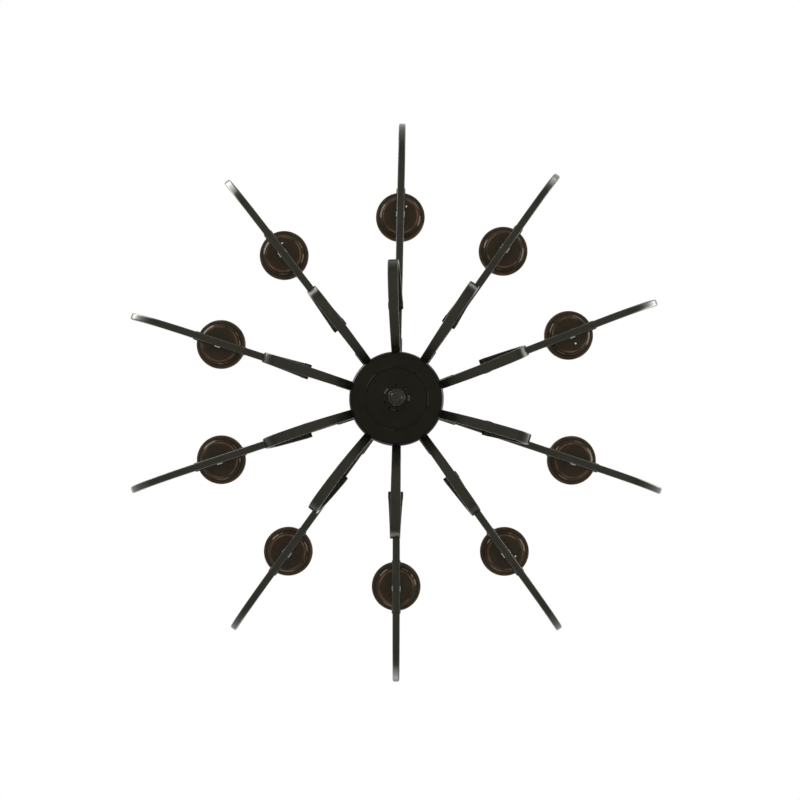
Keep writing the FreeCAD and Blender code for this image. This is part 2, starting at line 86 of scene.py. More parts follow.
# ---- curves -------------------------------------------------------------------------------------
@dataclass(frozen=True)
class Curve:
    """Sampled line in an upright plane, with what a sweep or a lathe needs at each point.

    Attributes:
        points: Distance from the axis and height, shape (n, 2).
        normals: Unit normals to the right of travel, shape (n, 2).
        wear: How exposed each point is to handling, 0 to 1, shape (n,).
    """

    points: np.ndarray
    normals: np.ndarray
    wear: np.ndarray

    @property
    def tangents(self) -> np.ndarray:
        """Unit directions of travel, shape (n, 2)."""
        return np.column_stack((-self.normals[:, 1], self.normals[:, 0]))

    @property
    def along(self) -> np.ndarray:
        """Distance travelled at each point, shape (n,)."""
        steps = np.linalg.norm(np.diff(self.points, axis=0), axis=1)
        return np.concatenate(([0.0], np.cumsum(steps)))


def steered_curve(
    start: tuple[float, float],
    heading_deg: float,
    legs: Sequence[tuple[float, float]],
    spacing: float,
) -> Curve:
    """Curve made of straight and round legs.

    Args:
        start: Distance from the axis and height where it starts.
        heading_deg: Direction at the start, counter-clockwise from outwards.
        legs: Length of each leg and how far it turns to the left, in degrees.
        spacing: Longest step between two points.

    Returns:
        The curve, with no wear.
    """
    here, heading = np.array(start, float), math.radians(heading_deg)
    points, headings = [here[None]], [np.array([heading])]
    for length, turn_deg in legs:
        turn = math.radians(turn_deg)
        count = max(1, math.ceil(length / spacing), math.ceil(abs(turn_deg) / DEGREES_PER_FACET))
        share = np.arange(1, count + 1) / count
        ways = heading + turn * share
        if abs(turn) < 1e-9:
            run = length * share[:, None] * np.array([[math.cos(heading), math.sin(heading)]])
        else:
            radius = length / turn
            run = radius * np.column_stack(
                (np.sin(ways) - math.sin(heading), math.cos(heading) - np.cos(ways))
            )
        points.append(here + run)
        headings.append(ways)
        here, heading = here + run[-1], heading + turn
    ways = np.concatenate(headings)
    normals = np.column_stack((np.sin(ways), -np.cos(ways)))
    return Curve(np.concatenate(points), normals, np.zeros(len(ways)))


def outline(corners: Sequence[tuple[float, float, float]], lift: float = 0.0) -> Curve:
    """Closed outline with filleted corners.

    Args:
        corners: Distance from the axis, height and fillet radius of each corner, going round with
            the solid on the left.
        lift: Height that is added to every corner.

    Returns:
        The curve round the outline, its first point not repeated. Small convex fillets are worn,
        most in their middle.
    """
    at = np.array([(rho, z + lift) for rho, z, _ in corners], float)
    towards = np.roll(at, -1, axis=0) - at
    reach = np.linalg.norm(towards, axis=1)
    unit = towards / reach[:, None]
    points, normals, wear = [], [], []
    for i, (_, _, fillet) in enumerate(corners):
        into, out = unit[i - 1], unit[i]
        turn = math.atan2(into[0] * out[1] - into[1] * out[0], float(into @ out))
        room = 0.49 * min(reach[i - 1], reach[i])
        radius = max(fillet, SMALLEST_FILLET)
        cut = min(radius * abs(math.tan(turn / 2)), room)
        facets = max(1, math.ceil(abs(math.degrees(turn)) / DEGREES_PER_FACET))
        share = np.arange(facets + 1) / facets
        ways = math.atan2(into[1], into[0]) + turn * share
        begin = at[i] - into * cut
        if abs(turn) < 1e-6:
            arc = begin + np.zeros((facets + 1, 2))
        else:
            bend = cut / math.tan(abs(turn) / 2) * math.copysign(1.0, turn)
            first = ways[0]
            arc = begin + bend * np.column_stack(
                (np.sin(ways) - math.sin(first), math.cos(first) - np.cos(ways))
            )
        points.append(arc)
        normals.append(np.column_stack((np.sin(ways), -np.cos(ways))))
        exposed = max(0.0, 1.0 - radius / UNWORN_FILLET) if turn > 0 else 0.0
        wear.append(exposed * np.sin(math.pi * share))
    return Curve(np.concatenate(points), np.concatenate(normals), np.concatenate(wear))


def circle_path(radius: float, height: float, straight: float = 0.0) -> Curve:
    """Closed path of a ring or a long link.

    Args:
        radius: Radius of the round ends.
        height: Height of the upper round end's centre.
        straight: Length of the sides between the round ends.

    Returns:
        The path, its first point not repeated.
    """
    half_round = (math.pi * radius, 180.0)
    sides = [(straight, 0.0)] if straight else []
    legs = [half_round, *sides, half_round, *sides]
    path = steered_curve((radius, height), 90.0, legs, LONGEST_STEP)
    return Curve(path.points[:-1], path.normals[:-1], path.wear[:-1])


# ---- meshes -------------------------------------------------------------------------------------
@dataclass(frozen=True)
class Surface:
    """Part of a mesh in millimetres.

    Attributes:
        points: Positions, shape (n, 3).
        normals: Unit normals, shape (n, 3).
        wear: Wear at each point, shape (n,).
        faces: Corner indices, shape (m, 3) or (m, 4).
    """

    points: np.ndarray
    normals: np.ndarray
    wear: np.ndarray
    faces: np.ndarray

    def oriented(self) -> "Surface":
        """The same surface with its faces wound to match its normals."""
        a, b, c = (self.points[self.faces[:, k]] for k in range(3))
        facing = np.einsum("ij,ij->i", np.cross(b - a, c - a), self.normals[self.faces[:, 1]])
        faces = self.faces if facing.sum() > 0 else self.faces[:, ::-1]
        return Surface(self.points, self.normals, self.wear, faces)

    def turned(self, degrees: float) -> "Surface":
        """The same surface turned about the vertical axis."""
        c, s = math.cos(math.radians(degrees)), math.sin(math.radians(degrees))
        spin = np.array([[c, s, 0.0], [-s, c, 0.0], [0.0, 0.0, 1.0]])
        return Surface(self.points @ spin, self.normals @ spin, self.wear, self.faces)

    def leant(self, degrees: float, height: float) -> "Surface":
        """The same surface leant sideways about the line under the arm at a height."""
        c, s = math.cos(math.radians(degrees)), math.sin(math.radians(degrees))
        lean = np.array([[1.0, 0.0, 0.0], [0.0, c, s], [0.0, -s, c]])
        points = (self.points - (0.0, 0.0, height)) @ lean + (0.0, 0.0, height)
        return Surface(points, self.normals @ lean, self.wear, self.faces)

    def moved(self, x: float = 0.0, y: float = 0.0, z: float = 0.0) -> "Surface":
        """The same surface moved by x, y and z."""
        return Surface(self.points + (x, y, z), self.normals, self.wear, self.faces)


def grid_faces(rows: int, columns: int, rows_close: bool, columns_close: bool) -> np.ndarray:
    """Quads of a grid whose points run along its columns first."""
    row = np.arange(rows if rows_close else rows - 1)
    column = np.arange(columns if columns_close else columns - 1)
    r, c = (axis.ravel() for axis in np.meshgrid(row, column, indexing="ij"))
    r2, c2 = (r + 1) % rows, (c + 1) % columns
    corners = (r * columns + c, r2 * columns + c, r2 * columns + c2, r * columns + c2)
    return np.column_stack(corners)


def lathe(profile: Curve, sectors: int = 96, rho: float = 0.0) -> Surface:
    """Surface of revolution of a closed profile.

    Args:
        profile: The outline, with distances from the axis of revolution.
        sectors: Facets round the axis.
        rho: How far that axis stands from the lamp's axis, along +X.

    Returns:
        The surface.
    """
    around = np.arange(sectors) * (2 * math.pi / sectors)
    cosine, sine = np.cos(around), np.sin(around)
    out, height = profile.points[:, :1], profile.points[:, 1:]
    x, y, z = out * cosine + rho, out * sine, height + 0 * cosine
    n_out, n_up = profile.normals[:, :1], profile.normals[:, 1:]
    points = np.stack((x, y, z), axis=-1).reshape(-1, 3)
    normals = np.stack((n_out * cosine, n_out * sine, n_up + 0 * cosine), axis=-1).reshape(-1, 3)
    faces = grid_faces(len(out), sectors, True, True)
    return Surface(points, normals, np.repeat(profile.wear, sectors), faces).oriented()


def bar_section(fillet_facets: int) -> tuple[np.ndarray, np.ndarray]:
    """Section of a bar with rounded corners.

    Args:
        fillet_facets: Facets in each corner.

    Returns:
        Which corner each point belongs to, as signs across and up, and its direction from the
        corner's centre. Both have shape (n, 2).
    """
    signs = np.array([(1, 1), (-1, 1), (-1, -1), (1, -1)], float)
    sweep = np.arange(fillet_facets + 1) / fillet_facets * (math.pi / 2)
    ways = (np.arange(4)[:, None] * (math.pi / 2) + sweep).ravel()
    directions = np.column_stack((np.cos(ways), np.sin(ways)))
    return np.repeat(signs, fillet_facets + 1, axis=0), directions


def swept_bar(
    path: Curve,
    width: float | np.ndarray,
    depth: float,
    fillet: float,
    closed: bool = False,
    fillet_facets: int = 4,
) -> list[Surface]:
    """Bar with rounded corners along a path, its ends eased by the same fillet.

    Args:
        path: Centre line in the XZ plane.
        width: Size across that plane, one for all points or one for each.
        depth: Size in the plane.
        fillet: Radius of the long corners and of the ends' edges.
        closed: Whether the path runs into itself.
        fillet_facets: Facets in each corner.

    Returns:
        The surfaces of the bar.
    """
    corner, way = bar_section(fillet_facets)
    half = np.broadcast_to(np.asarray(width, float) / 2, len(path.points))
    centres, normals, tangents = path.points, path.normals, path.tangents
    taper = 0 * half
    if not closed:
        taper = np.clip(np.gradient(half, path.along), -STEEPEST_TAPER, STEEPEST_TAPER)
    shrink, lean = np.zeros(len(half)), np.zeros(len(half))
    if not closed:
        sweep = np.arange(fillet_facets, 0, -1) / fillet_facets * (math.pi / 2)
        ease_shrink, ease_shift = fillet * (1 - np.cos(sweep)), fillet * (1 - np.sin(sweep))
        # the first and last rings pull in, so the ends' edges are round and nothing grows longer
        first = centres[0] + tangents[0] * ease_shift[:, None]
        last = centres[-1] - tangents[-1] * ease_shift[::-1, None]
        inner = (path.along > fillet) & (path.along < path.along[-1] - fillet)
        many = len(sweep)
        centres = np.concatenate((first, centres[inner], last))
        normals = np.concatenate(
            (np.repeat(normals[:1], many, 0), normals[inner], np.repeat(normals[-1:], many, 0))
        )
        tangents = np.column_stack((-normals[:, 1], normals[:, 0]))
        half = np.concatenate((np.repeat(half[0], many), half[inner], np.repeat(half[-1], many)))
        taper = np.concatenate((np.zeros(many), taper[inner], np.zeros(many)))
        still = np.zeros(int(inner.sum()))
        shrink = np.concatenate((ease_shrink, still, ease_shrink[::-1]))
        lean = np.concatenate((-sweep, still, sweep[::-1]))
    across = corner[:, 0] * (half[:, None] - fillet - shrink[:, None]) + fillet * way[:, 0]
    up = corner[:, 1] * (depth / 2 - fillet - shrink[:, None]) + fillet * way[:, 1]
    x = centres[:, :1] + up * normals[:, :1]
    z = centres[:, 1:] + up * normals[:, 1:]
    points = np.stack((x, across, z), axis=-1).reshape(-1, 3)
    side, rise = np.cos(lean)[:, None] * way[:, 0], np.cos(lean)[:, None] * way[:, 1]
    outwards = way[:, 0] * corner[:, 0] ** 2 * np.sign(way[:, 0])
    ahead = np.sin(lean)[:, None] - taper[:, None] * outwards
    n = np.stack(
        (
            rise * normals[:, :1] + ahead * tangents[:, :1],
            side,
            rise * normals[:, 1:] + ahead * tangents[:, 1:],
        ),
        axis=-1,
    ).reshape(-1, 3)
    n /= np.linalg.norm(n, axis=1)[:, None]
    rings, loop = len(centres), len(corner)
    worn = np.tile(np.clip(np.abs(way[:, 0] * way[:, 1]) * CORNER_WEAR, 0, 1), rings)
    skin = Surface(points, n, worn, grid_faces(rings, loop, closed, True)).oriented()
    if closed:
        return [skin]
    caps = []
    for ring, direction in ((0, -1.0), (rings - 1, 1.0)):
        rim = points[ring * loop : (ring + 1) * loop]
        facing = np.array([tangents[ring, 0], 0.0, tangents[ring, 1]]) * direction
        count = len(rim)
        edge = np.arange(count)
        fan = np.column_stack((np.full(count, count), edge, (edge + 1) % count))
        middle = rim.mean(axis=0)
        caps.append(
            Surface(
                np.vstack((rim, middle)),
                np.tile(facing, (count + 1, 1)),
                np.zeros(count + 1),
                fan,
            ).oriented()
        )
    return [skin, *caps]


def make_object(
    name: str, surfaces: Sequence[Surface], material: bpy.types.Material
) -> bpy.types.Object:
    """Blender object of one or more surfaces, with their exact normals and a wear attribute.

    Args:
        name: Name of the object.
        surfaces: The surfaces, in millimetres.
        material: Its only material.

    Returns:
        The object, at the origin and in metres.
    """
    starts = np.cumsum([0] + [len(s.points) for s in surfaces])
    faces = [row for s, first in zip(surfaces, starts) for row in (s.faces + first).tolist()]
    points = np.vstack([s.points for s in surfaces]) * MM
    mesh = bpy.data.meshes.new(name)
    mesh.from_pydata(points.tolist(), [], faces)
    mesh.polygons.foreach_set("use_smooth", np.ones(len(faces), dtype=bool))
    mesh.normals_split_custom_set_from_vertices(np.vstack([s.normals for s in surfaces]).tolist())
    wear = mesh.attributes.new("wear", "FLOAT", "POINT")
    wear.data.foreach_set("value", np.concatenate([s.wear for s in surfaces]).astype(np.float32))
    mesh.materials.append(material)
    mesh.update()
    made = bpy.data.objects.new(name, mesh)
    bpy.context.scene.collection.objects.link(made)
    return made


# ---- finishes -----------------------------------------------------------------------------------
def colour(hex_code: str) -> tuple[float, float, float, float]:
    """Linear colour with full alpha from an sRGB hex code such as #1e1c16."""
    parts = (int(hex_code[i : i + 2], 16) / 255 for i in (1, 3, 5))
    red, green, blue = (p / 12.92 if p <= 0.04045 else ((p + 0.055) / 1.055) ** 2.4 for p in parts)
    return red, green, blue, 1.0


def add_node(tree: bpy.types.NodeTree, kind: str, **inputs: object) -> bpy.types.Node:
    """Node with its inputs set or linked.

    Args:
        tree: The node tree.
        kind: Type name of the node.
        **inputs: For each input, its name with underscores for spaces, and a value or the socket
            to link. A name that starts with set_ is a property of the node.

    Returns:
        The node.
    """
    node = tree.nodes.new(kind)
    for name, value in inputs.items():
        if name.startswith("set_"):
            setattr(node, name[4:], value)
    for name, value in inputs.items():
        if name.startswith("set_"):
            continue
        key = int(name[3:]) if name.startswith("in_") else name.replace("_", " ")
        if isinstance(value, bpy.types.NodeSocket):
            tree.links.new(value, node.inputs[key])
        else:
            node.inputs[key].default_value = value
    return node


class FinishName(Enum):
    """The finishes on the lamp."""

    BRONZE = "oil-rubbed bronze coating on the spun hub"
    BAR = "oil-rubbed bronze coating on bar and strap"
    PAN_BRONZE = "oil-rubbed bronze coating on the spun pans"
    IVORY = "ivory candle sleeve"
    SOCKET = "black moulded socket"
    ZINC = "zinc-plated steel"
    FLOOR = "matt pale floor paint"


@dataclass(frozen=True)
class Finish:
    """A surface finish. Each kind of finish fills in its own shader."""

    name: FinishName

    def material(self) -> bpy.types.Material:
        """Material named after the real finish."""
        made = bpy.data.materials.new(self.name.value)
        made.use_nodes = True
        tree = made.node_tree
        tree.nodes.clear()
        shader = self.shader(tree)
        add_node(tree, "ShaderNodeOutputMaterial", Surface=shader.outputs[0])
        return made

    def shader(self, tree: bpy.types.NodeTree) -> bpy.types.Node:
        """Adds the finish's nodes to a tree and returns the last one."""
        raise NotImplementedError


@dataclass(frozen=True)
class CoatedBronze(Finish):
    """Near-black brown coating over steel, rubbed paler along exposed edges.

    To the eye it is a dark satin lacquer: it mirrors the room only faintly when seen straight on,
    brightly at a glancing angle, and shows copper where hands and cloths have thinned it.
    """

    dark: str = "#100f0b"
    light: str = "#1b1914"
    rubbed: str = "#5c4a38"
    roughness: float = 0.14
    reflection: float = 0.08
    wear_amount: float = 0.1
    metal_share: float = 0.35
    duller: float = 0.08
    glossier: float = 0.06

    def shader(self, tree: bpy.types.NodeTree) -> bpy.types.Node:
        """Coating with cloudy tone, uneven gloss and rubbed edges."""
        place = add_node(tree, "ShaderNodeTexCoord").outputs["Object"]
        # cloudy brown tone of a hand-rubbed finish, about 25 mm from patch to patch
        cloud = add_node(tree, "ShaderNodeTexNoise", Vector=place, Scale=38.0, Detail=4.0)
        tone = add_node(
            tree, "ShaderNodeMix", set_data_type="RGBA", Factor=cloud.outputs["Fac"],
            in_6=colour(self.dark), in_7=colour(self.light),
        )
        # fine grain of the sprayed coat, about 1 mm from grain to grain
        grain = add_node(tree, "ShaderNodeTexNoise", Vector=place, Scale=900.0, Detail=2.0)
        # rubbed edges: the wear attribute made uneven over about 15 mm
        patches = add_node(tree, "ShaderNodeTexNoise", Vector=place, Scale=65.0, Detail=1.0)
        worn = add_node(tree, "ShaderNodeAttribute", set_attribute_name="wear")
        kept = add_node(
            tree, "ShaderNodeMapRange", Value=patches.outputs["Fac"],
            From_Min=0.3, From_Max=0.7, To_Min=0.1 * self.wear_amount, To_Max=self.wear_amount,
        )
        rubbed = add_node(
            tree, "ShaderNodeMath", set_operation="MULTIPLY",
            in_0=worn.outputs["Fac"], in_1=kept.outputs["Result"],
        )
        shown = add_node(
            tree, "ShaderNodeMix", set_data_type="RGBA", Factor=rubbed.outputs[0],
            in_6=tone.outputs[2], in_7=colour(self.rubbed),
        )
        metallic = add_node(
            tree, "ShaderNodeMapRange", Value=rubbed.outputs[0],
            To_Min=self.metal_share, To_Max=1.0,
        )
        gloss = add_node(
            tree, "ShaderNodeMapRange", Value=cloud.outputs["Fac"],
            To_Min=self.roughness - self.glossier, To_Max=self.roughness + self.duller,
        )
        bump = add_node(
            tree, "ShaderNodeBump", Height=grain.outputs["Fac"], Strength=0.02, Distance=0.0003
        )
        return add_node(
            tree, "ShaderNodeBsdfPrincipled", Base_Color=shown.outputs[2],
            Metallic=metallic.outputs["Result"], Roughness=gloss.outputs["Result"],
            Specular_IOR_Level=self.reflection, Normal=bump.outputs["Normal"],
        )


@dataclass(frozen=True)
class Moulded(Finish):
    """Plain moulded plastic, card or paint with a little unevenness.

    To the eye it is even and matt, with a mottle about 8 mm across that stops it looking flat.
    """

    base: str = "#d9ceb2"
    roughness: float = 0.55
    glow: float = 0.0

    def shader(self, tree: bpy.types.NodeTree) -> bpy.types.Node:
        """Even colour with a faint mottle and a slightly uneven surface."""
        place = add_node(tree, "ShaderNodeTexCoord").outputs["Object"]
        mottle = add_node(tree, "ShaderNodeTexNoise", Vector=place, Scale=120.0, Detail=3.0)
        tone = add_node(
            tree, "ShaderNodeHueSaturation", Color=colour(self.base), Value=1.0, Saturation=1.0,
            Fac=1.0,
        )
        lightness = add_node(
            tree, "ShaderNodeMapRange", Value=mottle.outputs["Fac"], To_Min=0.94, To_Max=1.04
        )
        tree.links.new(lightness.outputs["Result"], tone.inputs["Value"])
        bump = add_node(
            tree, "ShaderNodeBump", Height=mottle.outputs["Fac"], Strength=0.08, Distance=0.0005
        )
        return add_node(
            tree, "ShaderNodeBsdfPrincipled", Base_Color=tone.outputs["Color"],
            Roughness=self.roughness, Subsurface_Weight=self.glow, Subsurface_Scale=0.002,
            Normal=bump.outputs["Normal"],
        )


@dataclass(frozen=True)
class PlatedSteel(Finish):
    """Zinc plating on small steel fittings.

    To the eye it is a bright grey metal whose gloss changes over about 7 mm.
    """

    base: str = "#b9bbb8"
    roughness: float = 0.34

    def shader(self, tree: bpy.types.NodeTree) -> bpy.types.Node:
        """Bare metal with uneven gloss. A bevel rounds the CAD solids' sharp edges."""
        place = add_node(tree, "ShaderNodeTexCoord").outputs["Object"]
        cloud = add_node(tree, "ShaderNodeTexNoise", Vector=place, Scale=150.0, Detail=3.0)
        gloss = add_node(
            tree, "ShaderNodeMapRange", Value=cloud.outputs["Fac"],
            To_Min=self.roughness - 0.1, To_Max=self.roughness + 0.1,
        )
        bevel = add_node(tree, "ShaderNodeBevel", set_samples=4, Radius=0.0004)
        return add_node(
            tree, "ShaderNodeBsdfPrincipled", Base_Color=colour(self.base), Metallic=1.0,
            Roughness=gloss.outputs["Result"], Normal=bevel.outputs["Normal"],
        )


FINISHES: tuple[Finish, ...] = (
    CoatedBronze(FinishName.BRONZE),
    CoatedBronze(
        FinishName.BAR, dark="#1c1b16", light="#282720", rubbed="#6c6a5e", roughness=0.16,
        reflection=0.22, wear_amount=0.2,
    ),
    CoatedBronze(
        FinishName.PAN_BRONZE, dark="#1b1812", light="#2b261d", rubbed="#8a5f42", roughness=0.15,
        reflection=0.1, wear_amount=0.6,
    ),
    Moulded(FinishName.IVORY, glow=0.15),
    Moulded(FinishName.SOCKET, base="#17161a", roughness=0.4),
    PlatedSteel(FinishName.ZINC),
)


@dataclass
class Dresser:
    """Makes the pieces that stand for CAD nodes and gives the other nodes their material."""

    materials: dict[FinishName, bpy.types.Material] = field(default_factory=dict)

    def __post_init__(self) -> None:
        """Builds every finish once."""
        self.materials = {finish.name: finish.material() for finish in FINISHES}

    def stand_in(
        self, node: str, surfaces: Sequence[Surface], finish: FinishName, body: str
    ) -> bpy.types.Object:
        """Piece with a finer shape than its CAD node, which it replaces.

        Args:
            node: The CAD node.
            surfaces: The piece's surfaces.
            finish: Its finish.
            body: The body that it moves with.

        Returns:
            The piece.
        """
        piece = make_object(f"{node}_dressed", surfaces, self.materials[finish])
        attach(piece, body)
        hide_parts(node)
        LOG.info("%s: %d faces, rides %s", piece.name, len(piece.data.polygons), body)
        return piece

    def repaint(self, node: str, finish: FinishName) -> None:
        """Gives a CAD node that stays in view a procedural material."""
        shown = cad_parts[node]
        shown.data.materials.clear()
        shown.data.materials.append(self.materials[finish])
        LOG.info("%s: CAD shape kept, %s", node, finish.value)


# ---- sub-assemblies -----------------------------------------------------------------------------
def rounded_ends(path: Curve, width: float, both: bool) -> np.ndarray:
    """Widths along a strap whose far end, or both ends, are round in plan.

    Args:
        path: Centre line of the strap.
        width: Its full width.
        both: Whether the near end is round too.

    Returns:
        The width at each point of the path.
    """
    radius = width / 2
    to_end = path.along[-1] - path.along
    from_end = np.minimum(to_end, path.along) if both else to_end
    inset = np.clip(radius - from_end, 0.0, radius)
    return np.maximum(2 * np.sqrt(radius**2 - inset**2), BLUNT_SHARE * width)


def fine_ends(
    legs: Sequence[tuple[float, float]], reach: float, both: bool
) -> list[tuple[float, float]]:
    """Legs with their last stretch, or both end stretches, cut into short steps.

    Args:
        legs: The legs of a steered curve, straight at the ends.
        reach: Length of an end stretch.
        both: Whether the first stretch is cut too.

    Returns:
        The finer legs.
    """
    steps = [(reach / END_STEPS, 0.0)] * END_STEPS
    cut = list(legs)
    cut[-1:] = [(cut[-1][0] - reach, 0.0), *steps]
    if both:
        cut[:1] = [*steps, (cut[0][0] - reach, 0.0)]
    return cut


@dataclass
class Arm:
    """Square bar that runs level and bends up to its tip, with a wide shoe at the hub."""

    side: float = 12.0
    fillet: float = 2.5
    start_rho: float = 36.0
    bend_rho: float = 355.0
    bend_radius: float = 150.0
    bend_deg: float = 57.5
    shoe_start: float = 44.0
    shoe_end: float = 108.0
    shoe_width: float = 15.0
    shoe_sheet: float = 3.0
    shoe_fillet: float = 0.5
    spacing: float = 12.0

    def surfaces(self) -> list[Surface]:
        """Bar and shoe of the arm that points along +X."""
        middle = ARM_UNDERSIDE + self.side / 2
        bend = self.bend_radius * math.radians(self.bend_deg)
        legs = [(self.bend_rho - self.start_rho, 0.0), (bend, self.bend_deg)]
        bar = swept_bar(
            steered_curve((self.start_rho, middle), 0.0, legs, self.spacing),
            self.side, self.side, self.fillet,
        )
        top = ARM_UNDERSIDE + self.side + self.shoe_sheet / 2
        run = fine_ends([(self.shoe_end - self.shoe_start, 0.0)], self.shoe_width / 2, False)
        path = steered_curve((self.shoe_start, top), 0.0, run, self.spacing)
        widths = rounded_ends(path, self.shoe_width, False)
        return bar + swept_bar(path, widths, self.shoe_sheet, self.shoe_fillet)

    def build(self, dresser: Dresser) -> None:
        """Makes all the arms."""
        plain = self.surfaces()
        for index in range(ARMS):
            turned = [s.turned(arm_angle(index)) for s in plain]
            dresser.stand_in(f"arm_{index + 1:02d}", turned, FinishName.BAR, "frame")


@dataclass
class Scroll:
    """C-scroll of flat strap under an arm, from the hub round to its snub end."""

    sheet: float = 5.0
    fillet: float = 1.6
    hub_rho: float = 68.0
    root_depth: float = 1.2
    hub_height: float = -47.5
    fall_deg: float = 35.0
    leg: float = 45.0
    belly_radius: float = 90.0
    rise_deg: float = 20.0
    width_hub: float = 13.5
    width_turn: float = 16.5
    width_end: float = 24.5
    end_rho: float = 154.0
    touch_rho: float = 180.0
    arm_side: float = 12.0
    snub_radius: float = 6.5
    snub_edge: float = 1.0
    taper_start: float = 58.0
    spacing: float = 6.0

    def path(self) -> tuple[Curve, float]:
        """Centre line, and the height of the middle of its turn."""
        fall = math.radians(self.fall_deg)
        # the strap starts inside the bell's wall, so a leant one leaves no gap there
        start = (
            self.hub_rho - self.root_depth,
            self.hub_height + ARM_UNDERSIDE + self.root_depth * math.tan(fall),
        )
        leg = self.leg + self.root_depth / math.cos(fall)
        swing = self.fall_deg + self.rise_deg
        lead = steered_curve(
            start, -self.fall_deg,
            [(leg, 0.0), (self.belly_radius * math.radians(swing), swing)], self.spacing,
        )
        top = ARM_UNDERSIDE - self.sheet / 2
        low = lead.points[-1]
        radius = (top - low[1]) / (1 + math.cos(math.radians(self.rise_deg)))
        turn = 180.0 - self.rise_deg
        back = low[0] - radius * math.sin(math.radians(self.rise_deg))
        legs = [
            (leg, 0.0),
            (self.belly_radius * math.radians(swing), swing),
            (radius * math.radians(turn), turn),
            (back - self.end_rho, 0.0),
        ]
        return steered_curve(start, -self.fall_deg, legs, self.spacing), top - radius

    def widths(self, path: Curve, middle: float) -> np.ndarray:
        """Strap width along the path: it grows to the turn, then flares to the snub end."""
        rho, height = path.points[:, 0], path.points[:, 1]
        outer = rho.max() + self.sheet / 2
        grown = (rho - self.taper_start) / (outer - self.taper_start)
        lower = self.width_hub + (self.width_turn - self.width_hub) * grown
        flare = np.clip((outer - rho) / (outer - self.end_rho), 0.0, 1.0)
        upper = self.width_turn + (self.width_end - self.width_turn) * flare
        late = (height > middle) & (np.arange(len(rho)) > len(rho) // 3)
        return np.where(late, upper, lower)

    def surfaces(self) -> list[Surface]:
        """Strap and snub end of the scroll under the arm that points along +X."""
        path, middle = self.path()
        strap = swept_bar(path, self.widths(path, middle), self.sheet, self.fillet)
        half, edge = self.width_end / 2, self.snub_edge
        roll = outline(
            [(AXIS_RHO, -half, 0), (self.snub_radius, -half, edge), (self.snub_radius, half, edge),
             (AXIS_RHO, half, 0)]
        )
        upright = lathe(roll, 40)
        # the roll's axis lies across the arm
        swap = [0, 2, 1]
        lying = Surface(
            upright.points[:, swap], upright.normals[:, swap], upright.wear, upright.faces
        ).oriented()
        return strap + [lying.moved(self.end_rho, 0.0, ARM_UNDERSIDE - self.snub_radius)]

    def set_by_hand(self, surface: Surface, turn_deg: float, lean_deg: float) -> Surface:
        """Surface leant about the arm, turned about the root and lowered till it only touches."""
        strayed = (self.touch_rho - self.hub_rho) * math.sin(math.radians(abs(turn_deg)))
        drop = (self.arm_side / 2 + strayed) * math.sin(math.radians(abs(lean_deg)))
        leant = surface.leant(lean_deg, ARM_UNDERSIDE).moved(x=-self.hub_rho)
        return leant.turned(turn_deg).moved(x=self.hub_rho, z=-drop)

    def build(self, dresser: Dresser) -> None:
        """Makes all the scrolls."""
        plain = self.surfaces()
        for index, (turn_deg, lean_deg) in enumerate(SCROLL_SET_DEG):
            placed = [self.set_by_hand(s, turn_deg, lean_deg) for s in plain]
            turned = [s.turned(arm_angle(index)) for s in placed]
            node = f"scroll_{index + 1:02d}"
            dresser.stand_in(node, turned, FinishName.BAR, "frame")


@dataclass
class Bridge:
    """Strap bridge on each arm that the pan sits on."""

    rho: float = 307.0
    half_length: float = 48.0
    foot: float = 10.0
    top_half: float = 26.0
    width: float = 15.0
    sheet: float = 3.0
    low: float = 12.0
    high: float = 30.0
    bend_radius: float = 3.0
    fillet: float = 0.5
    spacing: float = 6.0

    def surfaces(self) -> list[Surface]:
        """Bridge on the arm that points along +X."""
        rise = self.high - self.low - self.sheet
        run = self.half_length - self.foot - self.top_half
        slope = math.degrees(math.atan2(rise, run))
        bend = self.bend_radius * math.radians(slope)
        saved = self.bend_radius * math.tan(math.radians(slope) / 2)
        ramp = math.hypot(rise, run) - 2 * saved
        legs = [
            (self.foot - saved, 0.0), (bend, slope), (ramp, 0.0), (bend, -slope),
            (2 * (self.top_half - saved), 0.0),
            (bend, -slope), (ramp, 0.0), (bend, slope), (self.foot - saved, 0.0),
        ]
        start = (self.rho - self.half_length, ARM_UNDERSIDE + self.low + self.sheet / 2)
        path = steered_curve(start, 0.0, fine_ends(legs, self.width / 2, True), self.spacing)
        return swept_bar(path, rounded_ends(path, self.width, True), self.sheet, self.fillet)

    def build(self, dresser: Dresser) -> None:
        """Makes all the bridges as one piece, as the CAD node is."""
        straps = self.surfaces()
        turned = [s.turned(arm_angle(index)) for index in range(ARMS) for s in straps]
        dresser.stand_in("pan_bridges", turned, FinishName.BAR, "frame")


